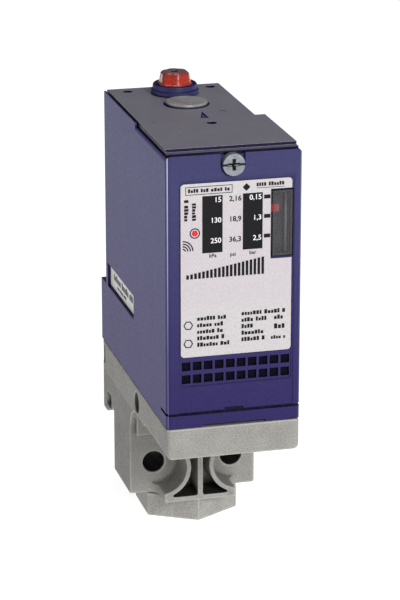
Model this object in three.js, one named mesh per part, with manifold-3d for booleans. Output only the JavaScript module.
// Block-type pressure switch with a removable cover, range adjusting knob and a hexagonal
// fluid connector. Millimetres, +Z up, front towards -Y, +X to the right of someone facing it.
// The origin is the centre of the fluid connector's lower face.

import * as THREE from 'three';
import { mergeVertices } from 'three/addons/utils/BufferGeometryUtils.js';
import Module from 'manifold-3d';

const wasm = await Module();
wasm.setup();

// ---------------------------------------------------------------- driving dimensions

const GAP = 0.3;                 // clearance between neighbouring pieces
const HALF_WIDTH = 17.5;
const FRONT = -50;               // front face of the cover
const REAR = 25;                 // rear mounting face
const UPPER_REAR = 19;           // rear of the upper half
const BASE_TOP = 40.7;           // rim of the base tray
const COVER_BOTTOM = BASE_TOP + GAP;
const COVER_TOP = 112;
const LEDGE = 58.6;              // step between the upper and the lower half
const TOP = 113;                 // upper face of the top plate

const WALL = 1.8;                // cover wall
const PLATE = 1.2;               // top plate thickness
const STEP_FRONT = -15;          // the cover is narrower on the right behind this
const STEP_RIGHT = 14.4;         // right side of the narrower part

const TRAY_BOTTOM = 32.6;
const TRAY_FLOOR = 35.6;
const TRAY_INNER = 12.4;         // half width of the tray pocket
const TRAY_FRONT = -44.9;        // front of the tray pocket
const FLANGE_FRONT = -7.5;
const FLANGE_REAR = 11.5;
const FLANGE_BOTTOM = 6.8;
const FIXING_X = 10.8;           // fixing holes in the flange
const FIXING_Z = 15.5;
const FIXING_RADIUS = 3;

const HEX_FLATS = 25;            // across the flats, which face left and right
const HEX_TOP = FLANGE_BOTTOM - GAP;
const PORT_RADIUS = 5.8;         // G 1/4 female port

const SCREW_X = -0.5;            // cover screw
const SCREW_Z = 109.3;
const SCREW_HEAD = 2.85;
const SCREW_SHANK = 1.45;
const SCREW_NOTCH = 3.2;         // rounded notch that the head lies in
const KNOB_Y = 10.8;             // axis of the knob, adjusting screw and range spring
const PLUG_Y = -1.8;
const RIVETS = [[-11.8, 15.5], [11, 15.5], [1.2, -23]];

const PIVOT_Y = 13.6;            // lever pivot
const PIVOT_Z = 51.6;
const LEVER_LOW = 50.5;
const LEVER_HIGH = 53.5;
const PLUNGER_Y = -24.5;

const BLOCK = { halfWidth: 12.2, front: -45, rear: -20, low: 58, high: 82 };
const TERMINAL_X = 8.2;
const FOOT_X = 8.5;              // screws that hold the contact bracket to the tray
const FOOT_Y = -42.6;
const NUT_LOW = 92.5;            // travelling nut at rest
const NUT_HIGH = 98.5;

// ---------------------------------------------------------------- materials

function material(colour, roughness, metalness) {
  return new THREE.MeshStandardMaterial({ color: colour, roughness, metalness });
}

const ZINC = [0xa6a49d, 0.55, 0.6];
const COVER_BLUE = [0x3f3f7d, 0.45, 0];
const PLATE_GREY = [0x625f66, 0.6, 0.2];
const STEEL = [0x9a9da1, 0.35, 0.9];
const BRASS = [0xb08d4a, 0.35, 0.9];
const BLACK = [0x1d1d20, 0.5, 0];
const RUBBER = [0x1a1a1a, 0.85, 0];
const RED = [0xb8301f, 0.3, 0];
const LABEL_WHITE = [0xdedce0, 0.5, 0.1];

// ---------------------------------------------------------------- solids

function toSolid(geometry) {
  const bare = geometry.clone();
  bare.deleteAttribute('normal');
  bare.deleteAttribute('uv');
  const merged = mergeVertices(bare, 1e-4);
  return new wasm.Manifold(new wasm.Mesh({
    numProp: 3,
    vertProperties: new Float32Array(merged.attributes.position.array),
    triVerts: new Uint32Array(merged.index.array),
  }));
}

function box(x0, x1, y0, y1, z0, z1) {
  const geometry = new THREE.BoxGeometry(x1 - x0, y1 - y0, z1 - z0);
  geometry.translate((x0 + x1) / 2, (y0 + y1) / 2, (z0 + z1) / 2);
  return toSolid(geometry);
}

// A prism of a closed outline. The outline is in (Y, Z) along X, (X, Z) along Y, (X, Y) along Z.
function prism(shape, axis, from, to, segments = 12) {
  const geometry = new THREE.ExtrudeGeometry(shape, {
    depth: to - from, bevelEnabled: false, curveSegments: segments,
  });
  const place = new THREE.Matrix4();
  if (axis === 'X') {
    place.set(0, 0, 1, from, 1, 0, 0, 0, 0, 1, 0, 0, 0, 0, 0, 1);
  } else if (axis === 'Y') {
    place.set(1, 0, 0, 0, 0, 0, -1, to, 0, 1, 0, 0, 0, 0, 0, 1);
  } else {
    place.makeTranslation(0, 0, from);
  }
  geometry.applyMatrix4(place);
  return toSolid(geometry);
}

// A round bar along an axis; u and v are its centre in the same order as a prism's outline.
function rod(radius, axis, from, to, u, v, sides = 32) {
  const geometry = new THREE.CylinderGeometry(radius, radius, to - from, sides);
  const middle = (from + to) / 2;
  if (axis === 'X') {
    geometry.rotateZ(Math.PI / 2);
    geometry.translate(middle, u, v);
  } else if (axis === 'Y') {
    geometry.translate(u, middle, v);
  } else {
    geometry.rotateX(Math.PI / 2);
    geometry.translate(u, v, middle);
  }
  return toSolid(geometry);
}

// A turned part about a vertical axis at (x, y); profile points are [radius, z].
function turned(profile, x, y, sides = 30) {
  const points = profile.map(([radius, z]) => new THREE.Vector2(radius, z));
  const geometry = new THREE.LatheGeometry(points, sides);
  geometry.rotateX(Math.PI / 2);
  geometry.translate(x, y, 0);
  return toSolid(geometry);
}

function polygon(points) {
  const shape = new THREE.Shape();
  points.forEach(([u, v], index) => (index ? shape.lineTo(u, v) : shape.moveTo(u, v)));
  shape.closePath();
  return shape;
}

function roundedRectangle(u0, u1, v0, v1, radius) {
  const shape = new THREE.Shape();
  shape.moveTo(u0 + radius, v0);
  shape.lineTo(u1 - radius, v0);
  shape.absarc(u1 - radius, v0 + radius, radius, -Math.PI / 2, 0, false);
  shape.lineTo(u1, v1 - radius);
  shape.absarc(u1 - radius, v1 - radius, radius, 0, Math.PI / 2, false);
  shape.lineTo(u0 + radius, v1);
  shape.absarc(u0 + radius, v1 - radius, radius, Math.PI / 2, Math.PI, false);
  shape.lineTo(u0, v0 + radius);
  shape.absarc(u0 + radius, v0 + radius, radius, Math.PI, Math.PI * 1.5, false);
  return shape;
}

function helix(x, y, low, high, radius, wire, turns, sides = 6) {
  class Coil extends THREE.Curve {
    getPoint(t, target = new THREE.Vector3()) {
      const angle = t * turns * 2 * Math.PI;
      const height = low + wire + t * (high - low - 2 * wire);
      return target.set(x + radius * Math.cos(angle), y + radius * Math.sin(angle), height);
    }
  }
  const section = new THREE.Shape();
  section.absarc(0, 0, wire, 0, 2 * Math.PI, false);
  const geometry = new THREE.ExtrudeGeometry(section, {
    steps: Math.round(turns * 12), curveSegments: sides / 2,
    bevelEnabled: false, extrudePath: new Coil(),
  });
  return toSolid(geometry);
}

const assembly = new THREE.Group();

function add(name, solid, look) {
  const mesh = solid.getMesh();
  const geometry = new THREE.BufferGeometry();
  geometry.setAttribute('position', new THREE.BufferAttribute(mesh.vertProperties, 3));
  geometry.setIndex(new THREE.BufferAttribute(mesh.triVerts, 1));
  geometry.computeVertexNormals();
  const piece = new THREE.Mesh(geometry, material(...look));
  piece.name = name;
  assembly.add(piece);
}

// A machine screw. Its head starts at `seat` and its axis points out of the head along `out`.
function screw(axis, out, seat, u, v, headRadius, headHeight, shankRadius, length, slot = 0.5) {
  const span = (from, to) => [Math.min(from, to), Math.max(from, to)];
  const top = seat + out * headHeight;
  let body = rod(headRadius, axis, ...span(seat, top), u, v, 20);
  body = body.add(rod(shankRadius, axis, ...span(seat + out * 0.1, seat - out * length), u, v, 10));
  const [cutLow, cutHigh] = span(top - out * headHeight * 0.5, top + out);
  if (axis === 'Y') {
    body = body.subtract(box(u - headRadius - 1, u + headRadius + 1, cutLow, cutHigh, v - slot, v + slot));
  } else {
    body = body.subtract(box(u - headRadius - 1, u + headRadius + 1, v - slot, v + slot, cutLow, cutHigh));
  }
  return body;
}

// ---------------------------------------------------------------- zinc base

function baseProfile() {
  const fillet = 7;
  const shape = new THREE.Shape();
  shape.moveTo(FRONT, BASE_TOP);
  shape.lineTo(FRONT, TRAY_BOTTOM);
  shape.lineTo(FLANGE_FRONT - fillet, TRAY_BOTTOM);
  shape.absarc(FLANGE_FRONT - fillet, TRAY_BOTTOM - fillet, fillet, Math.PI / 2, 0, true);
  shape.lineTo(FLANGE_FRONT, FLANGE_BOTTOM);
  shape.lineTo(FLANGE_REAR, FLANGE_BOTTOM);
  shape.lineTo(FLANGE_REAR, 24.5);
  shape.lineTo(20, 21);
  shape.lineTo(REAR, 21);
  shape.lineTo(REAR, BASE_TOP);
  shape.closePath();
  return shape;
}

const SCALLOP = { x: 10.9, z: 16.5, radius: 7.2 };
const SIDE_HOLE = { y: -16, z: 36.2, radius: 2.75, depth: 3 };
const PAD = { halfWidth: 15.8, front: -9.1, low: 24 };   // thicker top of the flange
const RIB = 1.2;
const WEB_FRONT = -16.4;

function webOutline() {
  const half = 9.9;
  const flare = 3.2;
  const shape = new THREE.Shape();
  shape.moveTo(-half, WEB_FRONT);
  shape.lineTo(half, WEB_FRONT);
  shape.lineTo(half, FLANGE_FRONT - flare);
  shape.absarc(half + flare, FLANGE_FRONT - flare, flare, Math.PI, Math.PI / 2, true);
  shape.lineTo(half + flare, FLANGE_FRONT + 1);
  shape.lineTo(-half - flare, FLANGE_FRONT + 1);
  shape.lineTo(-half - flare, FLANGE_FRONT);
  shape.absarc(-half - flare, FLANGE_FRONT - flare, flare, Math.PI / 2, 0, true);
  shape.closePath();
  return shape;
}

function makeWeb() {
  let web = prism(webOutline(), 'Z', FLANGE_BOTTOM, TRAY_BOTTOM + 1, 5);
  const pocketFloor = FLANGE_FRONT - 1.2;
  const cornerPost = RIB + 0.2;
  for (const side of [-1, 1]) {
    const x = side * SCALLOP.x;
    web = web.subtract(rod(SCALLOP.radius, 'Y', WEB_FRONT - 1, FLANGE_FRONT, x, SCALLOP.z, 40));
    const inner = side * 0.7;
    const outer = side * (9.9 - cornerPost);
    let pocket = box(
      Math.min(inner, outer), Math.max(inner, outer), WEB_FRONT - 1, pocketFloor,
      FLANGE_BOTTOM + 1.4, TRAY_BOTTOM - 2,
    );
    const rim = rod(SCALLOP.radius + RIB, 'Y', WEB_FRONT - 2, FLANGE_FRONT, x, SCALLOP.z, 40);
    pocket = pocket.subtract(rim);
    const keep = pocket.decompose().sort((a, b) => a.boundingBox().min[2] - b.boundingBox().min[2]);
    web = web.subtract(keep[0]);
  }
  return web;
}

function makeBase() {
  const corner = 1.4;
  let base = prism(baseProfile(), 'X', -HALF_WIDTH, HALF_WIDTH, 8);
  const plan = roundedRectangle(-HALF_WIDTH, HALF_WIDTH, FRONT, REAR, corner);
  base = base.intersect(prism(plan, 'Z', 0, 60, 4));
  const trayEnd = roundedRectangle(-HALF_WIDTH, HALF_WIDTH, TRAY_BOTTOM, 90, corner);
  const frontHalf = prism(trayEnd, 'Y', FRONT - 1, -24, 4);
  base = base.intersect(frontHalf.add(box(-30, 30, -24.5, 40, 0, 90)));
  base = base.add(makeWeb());
  base = base.add(
    box(-PAD.halfWidth, PAD.halfWidth, PAD.front, FLANGE_FRONT + 1, PAD.low, TRAY_BOTTOM + 1),
  );
  // rear wall inside the cover, with the tray pocket in front of it
  base = base.add(box(-15.4, 15.4, UPPER_REAR + GAP, REAR, 30, LEDGE - WALL - GAP));
  const lipOut = TRAY_INNER + 1.2;
  base = base.add(box(-lipOut, lipOut, TRAY_FRONT - 1.2, UPPER_REAR + GAP, 38, 43));
  base = base.subtract(box(-TRAY_INNER, TRAY_INNER, TRAY_FRONT, UPPER_REAR + GAP, TRAY_FLOOR, 60));
  // diaphragm seat and the passage down to the fluid connector
  base = base.add(rod(11.6, 'Z', TRAY_FLOOR - 1, 38, 0, 0, 32));
  base = base.subtract(rod(7, 'Z', 36.8, 39, 0, 0, 28));
  base = base.subtract(rod(2, 'Z', 10, 37.5, 0, 0, 12));
  base = base.subtract(rod(8.3, 'Z', 5, 11.8, 0, 0, 28));
  base = base.subtract(rod(6.4, 'Z', 11, 13.9, 0, 0, 24));
  // fixing holes, cable entry, tapped holes
  for (const side of [-1, 1]) {
    base = base.subtract(rod(FIXING_RADIUS, 'Y', -20, 20, side * FIXING_X, FIXING_Z, 24));
    base = base.subtract(rod(1.5, 'Y', UPPER_REAR, REAR - 1.5, side * 5, 46.5, 12));
    base = base.subtract(rod(1.7, 'Y', UPPER_REAR + 2, REAR + 1, side * 10, 30, 16));
    base = base.subtract(rod(1.5, 'Z', TRAY_BOTTOM + 1, 37, side * FOOT_X, FOOT_Y, 12));
    for (const front of [-1, 1]) {
      base = base.subtract(rod(1.3, 'Z', 34, 40, side * 6.9, front * 6.9, 10));
    }
  }
  base = base.subtract(rod(9.25, 'Z', 30, 40, 0, -33, 40));
  // blind hole, slot and notch in the left side wall, and their mirror on the right
  for (const side of [-1, 1]) {
    const inside = side * (HALF_WIDTH - 1.6);
    const outside = side * (HALF_WIDTH + 1);
    const [x0, x1] = [Math.min(inside, outside), Math.max(inside, outside)];
    const floor = side * (HALF_WIDTH - SIDE_HOLE.depth);
    const [h0, h1] = [Math.min(floor, outside), Math.max(floor, outside)];
    base = base.subtract(rod(SIDE_HOLE.radius, 'X', h0, h1, SIDE_HOLE.y, SIDE_HOLE.z, 28));
    base = base.subtract(prism(roundedRectangle(21.6, 24, 34.4, 39.6, 0.8), 'X', x0, x1, 3));
    base = base.subtract(prism(roundedRectangle(14.5, 20.2, 23.2, 27, 0.8), 'X', x0, x1, 3));
  }
  return base;
}

function makeConnector() {
  const corner = HEX_FLATS / Math.sqrt(3);
  const points = [];
  for (let i = 0; i < 6; i += 1) {
    const angle = (i * Math.PI) / 3 + Math.PI / 6;
    points.push([corner * Math.cos(angle), corner * Math.sin(angle)]);
  }
  let body = prism(polygon(points), 'Z', 0, HEX_TOP);
  body = body.add(rod(8, 'Z', HEX_TOP - 1, 11.5, 0, 0, 40));
  body = body.subtract(rod(PORT_RADIUS, 'Z', -1, 10, 0, 0, 40));
  body = body.subtract(rod(2, 'Z', 9, 12, 0, 0, 20));
  const mouth = turned([[0, -0.5], [PORT_RADIUS + 1.4, -0.5], [PORT_RADIUS - 0.3, 1.2], [0, 1.2]], 0, 0);
  return body.subtract(mouth);
}

// ---------------------------------------------------------------- sensing stack

function ring(inner, outer, low, high, x, y, sides = 40) {
  return rod(outer, 'Z', low, high, x, y, sides).subtract(rod(inner, 'Z', low - 1, high + 1, x, y, sides));
}

function makeSealRing() {
  const points = [];
  const sides = 8;
  for (let i = 0; i <= sides; i += 1) {
    const angle = (i * 2 * Math.PI) / sides;
    points.push([5 + 0.85 * Math.cos(angle), 12.75 + 0.85 * Math.sin(angle)]);
  }
  return turned(points, 0, 0, 24);
}

function boltHoles(solid, radius, low, high) {
  let result = solid;
  for (const x of [-6.9, 6.9]) {
    for (const y of [-6.9, 6.9]) {
      result = result.subtract(rod(radius, 'Z', low, high, x, y, 16));
    }
  }
  return result;
}

function makeDiaphragm() {
  const disc = turned([
    [0, 38.3], [5.4, 38.3], [6.1, 38.05], [6.8, 38.3], [11.6, 38.3],
    [11.6, 39.1], [6.8, 39.1], [6.1, 38.85], [5.4, 39.1], [0, 39.1],
  ], 0, 0);
  return boltHoles(disc, 1.8, 37, 40);
}

function makePiston() {
  return turned([
    [0, 39.4], [5.7, 39.4], [6, 39.7], [6, 41.6], [5.7, 41.9],
    [2.6, 41.9], [2.6, 49.4], [1.8, 50.2], [0, 50.2],
  ], 0, 0);
}

function makeLever() {
  const tip = -27;
  const bar = box(-4, 4, tip, PIVOT_Y, LEVER_LOW, LEVER_HIGH);
  const eye = rod(2.4, 'X', -4, 4, PIVOT_Y, PIVOT_Z, 28);
  const nose = rod((LEVER_HIGH - LEVER_LOW) / 2, 'X', -4, 4, tip, (LEVER_LOW + LEVER_HIGH) / 2, 20);
  return bar.add(eye).add(nose).subtract(rod(1.56, 'X', -5, 5, PIVOT_Y, PIVOT_Z, 20));
}

function makeLeverBracket() {
  const web = { front: 16.5, rear: 17.5 };
  let body = box(-8, 8, web.front, web.rear, 43.8, 56.5);
  for (const side of [-1, 1]) {
    const [x0, x1] = side < 0 ? [-8, -6.5] : [6.5, 8];
    body = body.add(box(x0, x1, 11, web.rear, 49, 54.2));
    body = body.subtract(rod(1.8, 'X', x0 - 1, x1 + 1, PIVOT_Y, PIVOT_Z, 20));
    body = body.subtract(rod(1.8, 'Y', 15, 19, side * 5, 46.5, 16));
  }
  return body;
}

function makeLowerSeat() {
  return turned([
    [0, 53.8], [1.5, 53.8], [1.5, 54.7], [5.4, 54.7], [5.4, 57], [3.3, 57], [3.3, 58.6],
    [2.7, 59.2], [0, 59.2],
  ], 0, KNOB_Y, 24);
}

// ---------------------------------------------------------------- range adjustment

function makeAdjustingScrew() {
  const low = 62;
  let body = turned([
    [0, low], [1.6, low], [2, low + 0.6], [2, 109.4], [2.6, 109.4], [2.6, 110], [1.7, 110],
    [1.7, 110.9], [2.6, 110.9], [2.6, 115.6], [2.1, 115.6], [2.1, 117.4], [0, 117.4],
  ], 0, KNOB_Y, 24);
  body = body.subtract(box(-0.4, 0.4, KNOB_Y - 4, KNOB_Y + 4, 116.6, 118));
  return body;
}

function makeNut() {
  let body = box(-6, 6, 5.2, 17.5, NUT_LOW, NUT_HIGH);
  body = body.add(box(5, 11.9, 6, 9.5, NUT_LOW + 1.5, NUT_HIGH));
  body = body.add(box(10.4, 11.9, -45.4, 9.5, 95, NUT_HIGH));
  body = body.subtract(rod(2.06, 'Z', NUT_LOW - 1, NUT_HIGH + 1, 0, KNOB_Y, 24));
  return body;
}

function makePointer() {
  const flag = box(9.9, 12.2, -47.3, -46.3, 95.5, 97.2);
  const socket = box(9.8, 12.2, -46.6, -43.6, 94.4, 99.1);
  return flag.add(socket).subtract(box(10.1, 12.21, -45.7, -43, 94.7, 98.8));
}

function makeCollar() {
  const low = TOP + GAP;
  return turned([
    [2.9, low], [6.4, low], [6.4, low + 1], [6, low + 1.25], [5.9, low + 2.3],
    [5.6, low + 2.6], [5.2, low + 2.6], [5.2, low + 1.9], [2.9, low + 1.9], [2.9, low],
  ], 0, KNOB_Y, 36);
}

function makeKnob() {
  const low = TOP + GAP + 2.2;
  const points = [];
  const lobes = 6;
  const steps = 54;
  for (let i = 0; i < steps; i += 1) {
    const angle = (i * 2 * Math.PI) / steps;
    const wave = Math.abs(Math.cos((lobes * angle) / 2)) ** 3;
    points.push([Math.cos(angle) * (1 - 0.09 * wave), Math.sin(angle) * (1 - 0.09 * wave)]);
  }
  const high = low + 3.5;
  const rows = [[4.8, low], [4.8, low + 0.35], [4.35, low + 0.6], [3.9, high - 0.45], [3.4, high]];
  const positions = [];
  for (const [radius, z] of rows) {
    for (const [x, y] of points) {
      positions.push(x * radius, y * radius + KNOB_Y, z);
    }
  }
  positions.push(0, KNOB_Y, low, 0, KNOB_Y, high);
  const index = [];
  for (let row = 0; row < rows.length - 1; row += 1) {
    for (let i = 0; i < steps; i += 1) {
      const next = (i + 1) % steps;
      const [a, b] = [row * steps + i, row * steps + next];
      index.push(a, b, b + steps, a, b + steps, a + steps);
    }
  }
  const centre = rows.length * steps;
  for (let i = 0; i < steps; i += 1) {
    const next = (i + 1) % steps;
    index.push(centre, next, i);
    index.push(centre + 1, (rows.length - 1) * steps + i, (rows.length - 1) * steps + next);
  }
  const geometry = new THREE.BufferGeometry();
  geometry.setAttribute('position', new THREE.Float32BufferAttribute(positions, 3));
  geometry.setIndex(index);
  let body = toSolid(geometry);
  body = body.subtract(rod(2.9, 'Z', low - 1, 115.9, 0, KNOB_Y, 24));
  body = body.subtract(rod(2.4, 'Z', low - 1, 117.7, 0, KNOB_Y, 24));
  return body.subtract(rod(0.9, 'Z', 117, 120, 0, KNOB_Y, 24));
}

// ---------------------------------------------------------------- top

function platePlan(low, high) {
  const left = -16.7;
  const front = -48;
  const outline = polygon([
    [left, front], [16.9, front], [16.9, STEP_FRONT - 2.6], [STEP_RIGHT - 0.2, STEP_FRONT - 2.6],
    [STEP_RIGHT - 0.2, UPPER_REAR], [left, UPPER_REAR],
  ]);
  return prism(outline, 'Z', low, high);
}

function makeTopPlate() {
  const lip = { front: -48, rear: -46.2, high: TOP - 0.8 };
  const profile = polygon([
    [lip.front, TOP - PLATE], [lip.front, lip.high], [lip.rear, lip.high], [lip.rear, TOP],
    [UPPER_REAR, TOP], [UPPER_REAR, 44], [UPPER_REAR - PLATE, 44],
    [UPPER_REAR - PLATE, TOP - PLATE],
  ]);
  let plate = prism(profile, 'X', -16.7, 16.9);
  plate = plate.intersect(platePlan(30, 130));
  // the rear leg stays inside the cover and the base
  plate = plate.subtract(box(-20, -14.2, 10, 30, 30, TOP - PLATE));
  plate = plate.subtract(box(12.3, 20, 10, 30, 30, TOP - PLATE));
  plate = plate.subtract(rod(3.1, 'Z', 110, 114, 0, KNOB_Y, 32));
  plate = plate.subtract(rod(4.7, 'Z', 110, 114, 0, PLUG_Y, 32));
  for (const [x, y] of RIVETS) {
    plate = plate.subtract(rod(1.35, 'Z', 110, 114, x, y, 20));
  }
  plate = plate.subtract(prism(polygon([[-0.4, -17.7], [1.9, -17.9], [1.8, -10.8]]), 'Z', 110, 114));
  for (const side of [-1, 1]) {
    plate = plate.subtract(rod(1.8, 'Y', 17, 20, side * 5, 46.5, 16));
  }
  return plate;
}

function makeChassis() {
  const low = 108.6;
  const high = TOP - PLATE - GAP;
  let body = box(-15.3, 12.2, -40, 17.3, low, high);
  body = body.subtract(box(-13.3, 10.2, -38, 15.3, low - 1, high - 1.2));
  for (const [x, y] of RIVETS) {
    body = body.add(rod(1.05, 'Z', high - 1.5, TOP - 0.6, x, y, 20));
  }
  body = body.subtract(rod(4.2, 'Z', low - 1, TOP, 0, KNOB_Y, 28));
  return body.subtract(rod(4.7, 'Z', low - 1, TOP, 0, PLUG_Y, 28));
}

function makePlug() {
  return turned([
    [0, 109.6], [4.1, 109.6], [4.4, 110], [4.4, TOP + GAP], [5.6, TOP + GAP],
    [5.6, TOP + 0.6], [5.3, TOP + 0.9], [4.9, TOP + 0.9], [4.2, TOP + 0.7], [0, TOP + 0.6],
  ], 0, PLUG_Y, 36);
}

// ---------------------------------------------------------------- cover and what is on it

const PANEL = { left: -14.5, right: 15.5, high: 106, depth: 0.3 };
const LABEL_PANEL = { left: -14.1, right: 15.1, low: 51.8, high: 105.5, depth: 0.6 };
const WINDOW = { left: 9.6, right: 15.3, low: 84.4, high: 101.9 };
const SIDE_LABEL = { front: -13.5, rear: 16.7, high: 64.9 };
const GRID = { columns: 10, first: -12.35, pitch: 2.87, cell: 2.3, rows: [53.8, 57.2], depth: 1.1 };

function makeCover() {
  const corner = 1.3;
  const plan = roundedRectangle(-HALF_WIDTH, HALF_WIDTH, FRONT, REAR + 5, corner);
  let cover = prism(plan, 'Z', COVER_BOTTOM, COVER_TOP + 0.7, 6);
  cover = cover.subtract(box(-30, 30, REAR, REAR + 10, 0, 200));
  cover = cover.subtract(box(-30, 30, UPPER_REAR, REAR + 10, LEDGE, 200));
  // narrower right side behind the step
  cover = cover.subtract(box(STEP_RIGHT, 30, STEP_FRONT, 40, LEDGE, 200));
  // hollow
  const inner = HALF_WIDTH - WALL;
  const innerFront = FRONT + WALL;
  const narrow = STEP_RIGHT - WALL;
  const hollow = box(-inner, inner, innerFront, 60, 0, 200);
  const step = box(narrow, 30, STEP_FRONT - WALL, 60, LEDGE - WALL, 200);
  const recess = {
    front: SIDE_LABEL.front - GAP, rear: SIDE_LABEL.rear + GAP,
    high: SIDE_LABEL.high + GAP, floor: HALF_WIDTH - 1.3,
  };
  const thick = box(
    -inner - 1, -recess.floor + WALL - 0.2, recess.front - 1.2, 60, LEDGE - 1.2, recess.high + 1.2,
  );
  cover = cover.subtract(hollow.subtract(step).subtract(thick));
  cover = cover.subtract(box(-30, -recess.floor, recess.front, recess.rear, LEDGE, recess.high));
  // top edges: the front is lower than the rear, and the walls clear the top plate
  cover = cover.subtract(box(-30, 30, FRONT + 1, -17, COVER_TOP - 0.5, 200));
  cover = cover.subtract(box(-30, 30, FRONT - 1, -17, COVER_TOP, 200));
  cover = cover.subtract(box(-17, 30, FRONT + WALL, 60, TOP - PLATE - GAP, 200));
  // rounded upper corners of the front half
  const face = roundedRectangle(-HALF_WIDTH, HALF_WIDTH, 0, COVER_TOP, 1.5);
  cover = cover.intersect(prism(face, 'Y', FRONT - 1, -17, 6).add(box(-30, 30, -17, 40, 0, 200)));
  return cutFront(cover);
}

function cutFront(blank) {
  const front = FRONT - 1;
  let cover = blank;
  // groove above the bottom lip, carried a little way round the sides
  cover = cover.subtract(box(-30, 30, front, FRONT + 0.6, 44.3, 45));
  for (const side of [-1, 1]) {
    const [x0, x1] = side < 0 ? [-30, -HALF_WIDTH + 0.5] : [HALF_WIDTH - 0.5, 30];
    cover = cover.subtract(box(x0, x1, front, -43.6, 44.3, 45));
  }
  cover = cover.subtract(box(-2.5, 2.6, front, FRONT + 0.8, 44.4, 45.6));
  cover = cover.subtract(box(-8.2, 8.4, front, FRONT + 0.9, 40, 41.5));
  // main panel and label panel
  const panelFloor = FRONT + PANEL.depth;
  cover = cover.subtract(box(PANEL.left, PANEL.right, front, panelFloor, 45, PANEL.high));
  const labelFloor = FRONT + LABEL_PANEL.depth;
  const labelPanel = roundedRectangle(
    LABEL_PANEL.left, LABEL_PANEL.right, LABEL_PANEL.low, LABEL_PANEL.high, 1,
  );
  cover = cover.subtract(prism(labelPanel, 'Y', front, labelFloor, 5));
  for (let column = 0; column < GRID.columns; column += 1) {
    for (const z of GRID.rows) {
      const x = GRID.first + column * GRID.pitch;
      const half = GRID.cell / 2;
      const floor = FRONT + GRID.depth + 0.3;
      cover = cover.subtract(box(x - half, x + half, front, floor, z - half, z + half));
    }
  }
  cover = cover.subtract(box(WINDOW.left, WINDOW.right, front, FRONT + 3, WINDOW.low, WINDOW.high));
  // notch for the screw head, and the slot for its shank
  const seat = FRONT + 1;
  cover = cover.subtract(rod(SCREW_NOTCH, 'Y', front, seat, SCREW_X, SCREW_Z, 36));
  cover = cover.subtract(box(SCREW_X - SCREW_NOTCH, SCREW_X + SCREW_NOTCH, front, seat, SCREW_Z, 120));
  const slot = SCREW_SHANK + 0.35;
  cover = cover.subtract(rod(slot, 'Y', front, FRONT + 3, SCREW_X, SCREW_Z, 20));
  cover = cover.subtract(box(SCREW_X - slot, SCREW_X + slot, front, FRONT + 3, SCREW_Z, 120));
  return cover;
}

function makeFrontLabel() {
  const outline = roundedRectangle(-13.8, 14.8, 59.8, 104.8, 0.9);
  const label = prism(outline, 'Y', FRONT + 0.1, FRONT + 0.3, 5);
  const cutOut = box(WINDOW.left - GAP, 20, FRONT - 1, FRONT + 2, WINDOW.low - GAP, WINDOW.high + GAP);
  return label.subtract(cutOut);
}

function makeWindow() {
  const { left, right, low, high } = WINDOW;
  let body = box(left + GAP, right - GAP, FRONT + 0.3, FRONT + 1.6, low + GAP, high - GAP);
  body = body.subtract(box(left + 0.9, right - 0.9, FRONT - 1, FRONT + 0.6, low + 0.9, high - 0.9));
  return body;
}

function makeSideLabel() {
  const floor = -(HALF_WIDTH - 1.3);
  return box(floor - 0.5, floor - GAP, SIDE_LABEL.front, SIDE_LABEL.rear, LEDGE + GAP, SIDE_LABEL.high);
}

function makeCoverScrew() {
  const seat = FRONT + 0.7;
  let body = rod(SCREW_HEAD, 'Y', seat - 1.9, seat, SCREW_X, SCREW_Z, 40);
  body = body.add(rod(SCREW_SHANK, 'Y', seat - 0.1, -41, SCREW_X, SCREW_Z, 20));
  const cut = [seat - 3, seat - 0.9];
  const long = 4;
  const short = 1.5;
  body = body.subtract(box(SCREW_X - long, SCREW_X + long, ...cut, SCREW_Z - 0.28, SCREW_Z + 0.28));
  body = body.subtract(box(SCREW_X - 0.45, SCREW_X + 0.45, ...cut, SCREW_Z - short, SCREW_Z + short));
  return body.subtract(box(SCREW_X - short, SCREW_X + short, ...cut, SCREW_Z - 0.45, SCREW_Z + 0.45));
}

function makeGasket() {
  const outer = box(-15.4, 15.4, -47.9, 18.6, BASE_TOP + GAP, 42.6);
  return outer.subtract(box(-13.9, 13.9, -46.4, 30, 30, 60));
}

// ---------------------------------------------------------------- contact block

const NC = { arm: 66.4, plateLow: 60, plateHigh: 67.2, button: 68 };
const NO = { arm: 71.6, plateLow: 71.6, plateHigh: 80, button: 70.9 };
const BRIDGE_LOW = 68.3;
const BRIDGE_HIGH = 69.1;

function makeContactBlock() {
  const { halfWidth, front, rear, low, high } = BLOCK;
  let block = box(-halfWidth, halfWidth, front, rear, low, high);
  block = block.subtract(box(-11, 11, -29, rear + 1, low + 2, high - 2));
  block = block.subtract(rod(1.8, 'Z', low - 1, low + 3, 0, PLUNGER_Y, 20));
  for (const side of [-1, 1]) {
    const x = side * TERMINAL_X;
    block = block.subtract(box(x - 3.7, x + 3.7, front - 1, -37, 59.3, 67.5));
    block = block.subtract(box(x - 3.7, x + 3.7, front - 1, -37, 71.2, 80.5));
    block = block.subtract(box(x - 3, x + 3, -38, -28, NC.arm - GAP, NC.arm + 1.1));
    block = block.subtract(box(x - 3, x + 3, -38, -28, NO.arm - GAP, NO.arm + 1.1));
    for (const z of [63, 76.5]) {
      block = block.subtract(rod(1.5, 'Y', -38, -31, x, z, 16));
    }
  }
  for (const y of [-41, -33]) {
    block = block.subtract(rod(1.4, 'Z', low - 1, high + 1, 0, y, 16));
  }
  // opens the block's roof a little for air
  return block.subtract(rod(1, 'Z', high - 3, high + 1, 8, -24, 12));
}

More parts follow.
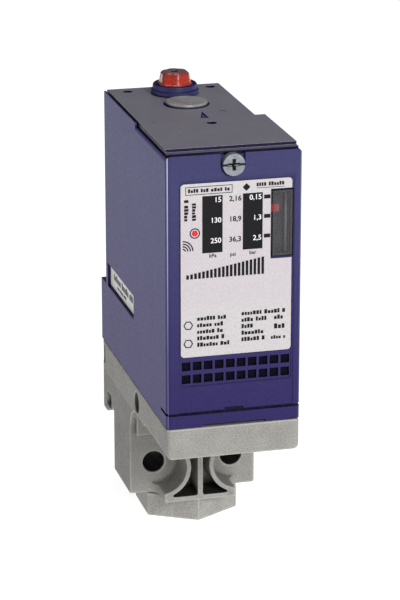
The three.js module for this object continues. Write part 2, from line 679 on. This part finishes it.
function makeFixedContact(side, kind, up) {
  const x = side * TERMINAL_X;
  const plate = box(x - 2.5, x + 2.5, -38.1, -37.3, kind.plateLow, kind.plateHigh);
  const arm = box(x - 2.5, x + 2.5, -38.1, -23, kind.arm, kind.arm + 0.8);
  const z = up ? [kind.arm + 0.5, kind.button] : [kind.button, kind.arm + 0.3];
  const button = rod(1.4, 'Z', ...z, x, PLUNGER_Y, 16);
  const screwZ = up ? 63 : 76.5;
  return plate.add(arm).add(button).subtract(rod(1.8, 'Y', -40, -36, x, screwZ, 16));
}

function makeClampSaddle(x, z) {
  let body = box(x - 3.1, x + 3.1, -39.6, -38.5, z - 2.8, z + 2.8);
  body = body.subtract(box(x - 2.2, x + 2.2, -38.9, -38, z - 4, z + 4));
  return body.subtract(rod(1.8, 'Y', -42, -36, x, z, 16));
}

function makePlunger() {
  return turned([
    [0, 53.8], [1.1, 53.8], [1.5, 54.3], [1.5, 65.4], [2.6, 65.4], [2.6, 68], [1.1, 68],
    [1.1, 71.4], [0.8, 71.8], [0, 71.8],
  ], 0, PLUNGER_Y, 24);
}

function makeBridge() {
  const strip = box(-9.8, 9.8, PLUNGER_Y - 2.2, PLUNGER_Y + 2.2, BRIDGE_LOW, BRIDGE_HIGH);
  return strip.subtract(rod(1.4, 'Z', 60, 80, 0, PLUNGER_Y, 20));
}

function makeContactBracket() {
  const { low } = BLOCK;
  let body = box(-12, 12, -44, -26.8, low - 1.3, low - GAP);
  for (const side of [-1, 1]) {
    const [x0, x1] = side < 0 ? [-12, -11] : [11, 12];
    body = body.add(box(x0, x1, -44.5, -30, TRAY_FLOOR + GAP, low - GAP));
    const [f0, f1] = side < 0 ? [-12, -6.2] : [6.2, 12];
    body = body.add(box(f0, f1, -44.5, -40.6, TRAY_FLOOR + GAP, TRAY_FLOOR + GAP + 1));
    body = body.subtract(rod(1.5, 'Z', 30, 40, side * FOOT_X, FOOT_Y, 16));
  }
  for (const y of [-41, -33]) {
    body = body.subtract(rod(1.4, 'Z', low - 3, low, 0, y, 16));
  }
  return body;
}

// ---------------------------------------------------------------- assembly

add('zinc_base', makeBase(), ZINC);
add('fluid_connector', makeConnector(), ZINC);
add('connector_seal_ring', makeSealRing(), RUBBER);
add('cover_gasket', makeGasket(), RUBBER);

add('diaphragm', makeDiaphragm(), RUBBER);
add('clamp_ring', boltHoles(ring(6.3, 11.6, 39.4, 42.4, 0, 0), 1.8, 38, 44), STEEL);
[[-1, -1], [1, -1], [-1, 1], [1, 1]].forEach(([x, y], index) => {
  add(`clamp_screw_${index + 1}`, screw('Z', 1, 42.7, x * 6.9, y * 6.9, 2.2, 1.6, 1, 7), STEEL);
});
add('piston', makePiston(), STEEL);

add('lever', makeLever(), STEEL);
add('lever_pin', rod(1.5, 'X', -9, 9, PIVOT_Y, PIVOT_Z, 20), STEEL);
add('lever_bracket', makeLeverBracket(), STEEL);
[-5, 5].forEach((x, index) => {
  add(`bracket_screw_${index + 1}`, screw('Y', -1, 16.2, x, 46.5, 2.3, 1.6, 1.2, 6.5), STEEL);
});
add('lower_spring_seat', makeLowerSeat(), BRASS);
add('range_spring', helix(0, KNOB_Y, 57.3, NUT_LOW - GAP, 4.35, 0.75, 8), STEEL);

add('adjusting_screw', makeAdjustingScrew(), STEEL);
add('retaining_ring', ring(2, 3.4, 110.15, 110.75, 0, KNOB_Y, 28), STEEL);
add('travelling_nut', makeNut(), BRASS);
add('range_pointer', makePointer(), RED);
add('knob_collar', makeCollar(), COVER_BLUE);
add('adjusting_knob', makeKnob(), RED);

add('top_plate', makeTopPlate(), PLATE_GREY);
add('top_chassis', makeChassis(), COVER_BLUE);
add('blanking_plug', makePlug(), [0x8f8f93, 0.45, 0.3]);

add('front_cover', makeCover(), COVER_BLUE);
add('front_label', makeFrontLabel(), LABEL_WHITE);
add('side_label', makeSideLabel(), LABEL_WHITE);
add('scale_window', makeWindow(), [0x3a3a3f, 0.15, 0]);
add('cover_screw', makeCoverScrew(), STEEL);
add('screw_retainer', ring(1.75, 2.2, 0, 0.6, 0, 0, 24).rotate([90, 0, 0])
  .translate([SCREW_X, FRONT + WALL + GAP + 0.6, SCREW_Z]), BLACK);
add('cover_screw_nut', box(SCREW_X - 4, SCREW_X + 4, -44.8, -40.4, 106.5, TOP - PLATE - GAP)
  .subtract(rod(1.75, 'Y', -50, -40, SCREW_X, SCREW_Z, 20)), STEEL);

add('contact_block', makeContactBlock(), BLACK);
add('contact_bracket', makeContactBracket(), STEEL);
let number = 1;
for (const side of [-1, 1]) {
  add(`contact_nc_${side < 0 ? 'left' : 'right'}`, makeFixedContact(side, NC, true), BRASS);
  add(`contact_no_${side < 0 ? 'left' : 'right'}`, makeFixedContact(side, NO, false), BRASS);
  for (const z of [63, 76.5]) {
    const x = side * TERMINAL_X;
    add(`clamp_saddle_${number}`, makeClampSaddle(x, z), STEEL);
    add(`terminal_screw_${number}`, screw('Y', -1, -39.9, x, z, 2.7, 1.8, 1.2, 7), STEEL);
    number += 1;
  }
}
add('contact_plunger', makePlunger(), BLACK);
add('contact_bridge', makeBridge(), BRASS);
add('contact_spring', helix(0, PLUNGER_Y, 69.4, 79.7, 1.9, 0.3, 6), STEEL);
[-41, -33].forEach((y, index) => {
  add(`block_screw_${index + 1}`, screw('Z', 1, 82.3, 0, y, 2.3, 1.5, 1.1, 25.5), STEEL);
});
[-FOOT_X, FOOT_X].forEach((x, index) => {
  add(`foot_screw_${index + 1}`, screw('Z', 1, 37.2, x, FOOT_Y, 1.9, 1.4, 1.1, 3.2), STEEL);
});

export default assembly;
